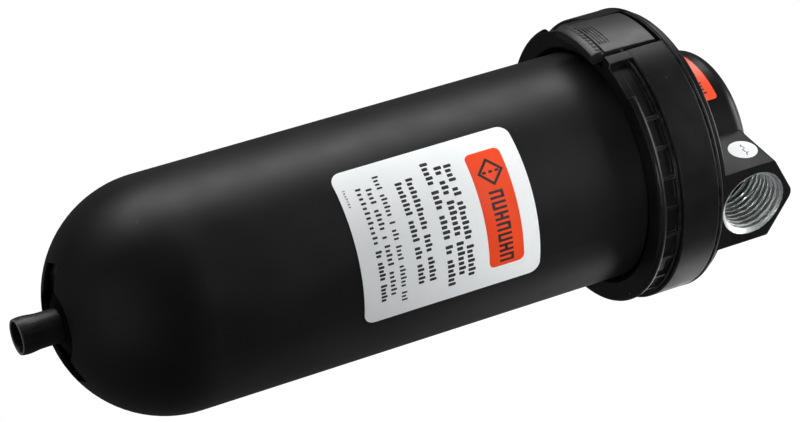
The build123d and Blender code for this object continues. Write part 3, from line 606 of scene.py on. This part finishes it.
# ======================================================================
# Head label and round sticker
# ======================================================================
def head_label(orange, black):
    """Orange label round the turret; the shoulder ring hides most of it."""
    height = HEAD_LABEL_HIGH.z - HEAD_LABEL_LOW.z
    middle_z = (HEAD_LABEL_HIGH.z + HEAD_LABEL_LOW.z) / 2
    width = math.radians(HEAD_LABEL_STOP - HEAD_LABEL_START) * TURRET_RADIUS
    film = bmesh.new()
    add_film(film, TURRET_RADIUS, math.radians((HEAD_LABEL_START + HEAD_LABEL_STOP) / 2), middle_z,
             rounded_columns(width, height, 1.0 * MM), FILM)
    label = new_piece("head_label_film", film, orange, "head")
    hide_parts("head_label")
    printed = bmesh.new()
    face = TURRET_RADIUS + FILM
    print_line(printed, face, -96.0, -60.5, HEAD_LABEL_HIGH.z - 3.3 * MM, 1.7 * MM, (3, 4, 4), 0.5)
    print_line(printed, face, -98.0, -62.0, HEAD_LABEL_HIGH.z - 6.6 * MM, 1.7 * MM, (6, 5), 0.5)
    new_piece("head_label_print", printed, black, "head", smooth=False)


def sticker_marks(black):
    """Three small check marks on the round sticker."""
    middle = (STICKER_LOW + STICKER_HIGH) / 2
    builder = bmesh.new()
    for across, up, lean in ((-1.9, 0.3, 0.5), (0.0, -0.1, 0.1), (1.7, 0.2, -0.4)):
        for length, turn in ((1.5, lean), (0.8, lean + 1.7)):
            along = Vector((math.cos(turn), 0.0, math.sin(turn)))
            side = Vector((-math.sin(turn), 0.0, math.cos(turn))) * 0.16 * MM
            start = Vector((middle.x + across * MM, STICKER_LOW.y, middle.z + up * MM))
            stop = start + along * length * MM
            ends = (start - side, stop - side, stop + side, start + side)
            front = [builder.verts.new(point - Vector((0, INK, 0))) for point in ends]
            back = [builder.verts.new(point) for point in ends]
            builder.faces.new(front)
            builder.faces.new(back)
            for i in range(4):
                j = (i + 1) % 4
                builder.faces.new((front[i], front[j], back[j], back[i]))
    new_piece("sticker_marks", builder, black, "head", smooth=False)


# ======================================================================
# Port threads
# ======================================================================
def port_threads(side, material):
    """Cut thread in a port: a sleeve whose inner face follows the helix and the taper."""
    per_turn = 14
    around = 144
    inner_end = 0.4 * MM
    clear = 0.05 * MM
    length = PORT_DEPTH - inner_end - clear
    steps = int(length / THREAD_PITCH * per_turn)
    mouth = 1.5 * MM
    bevel = 0.8 * MM
    builder = bmesh.new()
    rows = []
    for i in range(steps + 1):
        depth = clear + length * i / steps
        row = []
        for k in range(around):
            turn = 2 * math.pi * k / around
            phase = (depth / THREAD_PITCH + k / around) % 1.0
            ridge = min(1.0, max(0.0, 1.75 * (1 - abs(2 * phase - 1)) - 0.35))
            fade = min(1.0, depth / mouth)
            lip = 0.9 * min(bevel, depth)
            height = max(lip, THREAD_DEPTH * ridge * fade)
            if depth >= mouth:
                height *= ridge
            radius = PORT_RADIUS - clear - THREAD_TAPER * depth - height
            row.append(builder.verts.new((
                side * (PORT_FACE - depth),
                radius * math.cos(turn),
                PORT_Z + radius * math.sin(turn),
            )))
        rows.append(row)
    wall = []
    for depth in (clear + length, clear):
        radius = PORT_RADIUS - 0.012 * MM
        wall.append([
            builder.verts.new((
                side * (PORT_FACE - depth),
                radius * math.cos(2 * math.pi * k / around),
                PORT_Z + radius * math.sin(2 * math.pi * k / around),
            ))
            for k in range(around)
        ])
    rings = rows + wall + [rows[0]]
    for ring, following in zip(rings, rings[1:]):
        for k in range(around):
            j = (k + 1) % around
            builder.faces.new((ring[k], ring[j], following[j], following[k]))
    name = "outlet_thread" if side > 0 else "inlet_thread"
    return new_piece(name, builder, material, "head")


# ======================================================================
# Drain tube
# ======================================================================
def drain_tube(material):
    """Thin flexible tube with a soft belly and small dents near its foot."""
    outline = (  # height, outer radius, in mm
        (0.0, 5.12), (0.18, 5.26), (1.2, 5.42), (2.6, 5.52), (4.2, 5.42), (5.6, 5.24),
        (6.8, 5.13), (8.0, 5.10), (12.0, 5.10), (24.0, 5.10),
    )
    bore = 4.2
    around = 72
    builder = bmesh.new()
    rings = []
    path = [(rise, radius) for rise, radius in outline]
    path += [(24.0, bore), (6.0, bore), (3.0, bore + 0.12), (0.5, bore + 0.15), (0.0, bore + 0.3)]
    dents = ((0.9, 5.0, 0.16), (2.4, 6.1, 0.12), (-1.4, 4.2, 0.10), (-2.6, 6.4, 0.14))
    for index, (rise, radius) in enumerate(path):
        ring = []
        for k in range(around):
            turn = 2 * math.pi * k / around
            pull = 0.0
            if index < len(outline):
                for at, height, depth in dents:
                    apart = math.atan2(math.sin(turn - at), math.cos(turn - at)) * radius
                    pull += depth * math.exp(-(apart ** 2 + (rise - height) ** 2) / 1.1)
            oval = 0.10 * math.cos(2 * (turn - 0.6)) * max(0.0, 1 - rise / 6.0)
            reach = (radius + oval - pull) * MM
            ring.append(builder.verts.new(on_cylinder(reach, turn, TUBE_LOW.z + rise * MM)))
        rings.append(ring)
    rings.append(rings[0])
    for ring, following in zip(rings, rings[1:]):
        for k in range(around):
            j = (k + 1) % around
            builder.faces.new((ring[k], ring[j], following[j], following[k]))
    piece = new_piece("drain_tube_skin", builder, material, "drain_push_tube")
    smooth = piece.modifiers.new("smooth", "SUBSURF")
    smooth.levels = 2
    smooth.render_levels = 2
    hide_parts("drain_tube")


# ======================================================================
# Dress the CAD nodes
# ======================================================================
def dress(node, material):
    mesh = NODES[node].data
    mesh.materials.clear()
    mesh.materials.append(material)


black_head = head_paint()
black_guard = guard_paint()
black_collar = collar_plastic()
# Lit copy of the collar moulding: its lighter base colour and stronger painted edge highlight stand in for
# light falling on the latch.
lit_latch_copy = collar_plastic("latch_plastic", dark=0.009, gloss=0.36, edge_highlight_and_wear_strength=0.9, specular=0.4)
white_vinyl = vinyl("white_vinyl", (0.90, 0.93, 0.94), (0.95, 0.97, 0.98))
orange_vinyl = vinyl("orange_vinyl", (0.86, 0.055, 0.008), (0.93, 0.075, 0.012))
black_ink = ink()
thread_metal = bare_thread()
tube_black = tube_plastic()
seal_rubber = rubber()
plain_steel = steel()
inner_black = dark_moulding()
float_cream = dark_moulding("float_moulding", tone=0.6)
media_paper = pleated_paper()
bowl_dark = smoked_bowl()

DRESSING = {
    "head_body": black_head,
    "dot_sticker": vinyl("sticker_paper", (0.74, 0.76, 0.77), (0.82, 0.83, 0.83), roughness=0.5),
    "upper_gasket": seal_rubber,
    "deflector": inner_black,
    "upper_cap": inner_black,
    "filter_media": media_paper,
    "core_tube": plain_steel,
    "lower_cap": inner_black,
    "lower_gasket": seal_rubber,
    "baffle": inner_black,
    "retaining_nut": inner_black,
    "tie_rod": plain_steel,
    "bowl_guard": black_guard,
    "bowl": bowl_dark,
    "bowl_seal": seal_rubber,
    "drain_body": inner_black,
    "drain_gasket": seal_rubber,
    "drain_nut": dark_moulding("nut_moulding", tone=0.002, specular=0.04),
    "drain_screen": plain_steel,
    "drain_spring": plain_steel,
    "drain_float": float_cream,
    "float_pad": seal_rubber,
    "lock_collar": black_collar,
    "latch_pin": plain_steel,
    "latch_spring": plain_steel,
    "latch_lever": lit_latch_copy,
}
for node_name, finish in DRESSING.items():
    dress(node_name, finish)

guard_label(white_vinyl, orange_vinyl, black_ink, ink("grey_ink", tone=0.22))
head_label(orange_vinyl, black_ink)
sticker_marks(black_ink)
port_threads(1, thread_metal)
port_threads(-1, thread_metal)
drain_tube(tube_black)


# ======================================================================
# Floor, light and camera
# ======================================================================
def direction(azimuth, elevation):
    a = math.radians(azimuth)
    e = math.radians(elevation)
    return Vector((math.cos(e) * math.cos(a), math.cos(e) * math.sin(a), math.sin(e)))


def softbox(name, azimuth, elevation, distance, width, height, power, aim_z=CENTRE_Z, spread=180):
    """Area light on a sphere round the filter, its height running with the bowl's axis."""
    lamp = bpy.data.lights.new(name, "AREA")
    lamp.shape = "RECTANGLE"
    lamp.size = width
    lamp.size_y = height
    lamp.energy = power
    lamp.spread = math.radians(spread)
    holder = bpy.data.objects.new(name, lamp)
    bpy.context.scene.collection.objects.link(holder)
    target = Vector((0, 0, aim_z))
    holder.location = target + distance * direction(azimuth, elevation)
    holder.rotation_euler = (target - holder.location).to_track_quat("-Z", "Y").to_euler()
    return holder


def pale_floor():
    """Wide floor well below the filter."""
    builder = bmesh.new()
    bmesh.ops.create_grid(builder, x_segments=8, y_segments=8, size=6.0)
    mesh = bpy.data.meshes.new("floor")
    builder.to_mesh(mesh)
    builder.free()
    mesh.materials.append(floor_paint())
    floor = bpy.data.objects.new("floor", mesh)
    bpy.context.scene.collection.objects.link(floor)
    floor.location.z = FLOOR_Z


def white_world():
    """White behind the filter, and a dimmer white as its light."""
    world = bpy.data.worlds.new("studio")
    bpy.context.scene.world = world
    world.use_nodes = True
    tree = world.node_tree
    backdrop = tree.nodes["Background"]
    backdrop.inputs["Color"].default_value = (1, 1, 1, 1)
    ray = tree.nodes.new("ShaderNodeLightPath")
    level = tree.nodes.new("ShaderNodeMapRange")
    level.inputs["To Min"].default_value = WORLD_LIGHT
    level.inputs["To Max"].default_value = BACKDROP
    tree.links.new(ray.outputs["Is Camera Ray"], level.inputs["Value"])
    tree.links.new(level.outputs["Result"], backdrop.inputs["Strength"])


CAMERA_AZIMUTH = -39.2
CAMERA_ELEVATION = -23.93
CAMERA_ROLL = 73.18
CAMERA_DISTANCE = 0.85
CAMERA_TARGET = Vector((0.0357, -0.0328, 0.1027))
CAMERA_LENS = 136.52


def long_camera():
    """Long lens, below and beside the filter, rolled so that the bowl lies across the frame."""
    data = bpy.data.cameras.new("camera")
    data.lens = CAMERA_LENS
    data.sensor_width = 36.0
    data.clip_start = 0.01
    data.clip_end = 50.0
    camera = bpy.data.objects.new("camera", data)
    bpy.context.scene.collection.objects.link(camera)
    back = direction(CAMERA_AZIMUTH, CAMERA_ELEVATION)
    level_right = Vector((0, 0, 1)).cross(back).normalized()
    level_up = back.cross(level_right)
    roll = math.radians(CAMERA_ROLL)
    right = math.cos(roll) * level_right + math.sin(roll) * level_up
    up = back.cross(right)
    turn = Matrix((right, up, back)).transposed().to_4x4()
    camera.matrix_world = Matrix.Translation(CAMERA_TARGET + CAMERA_DISTANCE * back) @ turn
    bpy.context.scene.camera = camera


pale_floor()
white_world()
long_camera()
# azimuth and elevation in degrees; distance, width and height in metres; power in watts
softbox("key", -128, 8, 0.75, 0.36, 0.95, 6.6)
softbox("fill_low", -30, -62, 0.9, 0.9, 0.9, 1.1)
softbox("front", -42, 68, 1.0, 0.6, 0.6, 13.5)
softbox("port", -12, -18, 0.55, 0.16, 0.16, 0.035, aim_z=PORT_Z, spread=12)
softbox("top", 100, 55, 1.0, 0.8, 0.8, 6.0)
bpy.context.scene.view_settings.view_transform = "Standard"
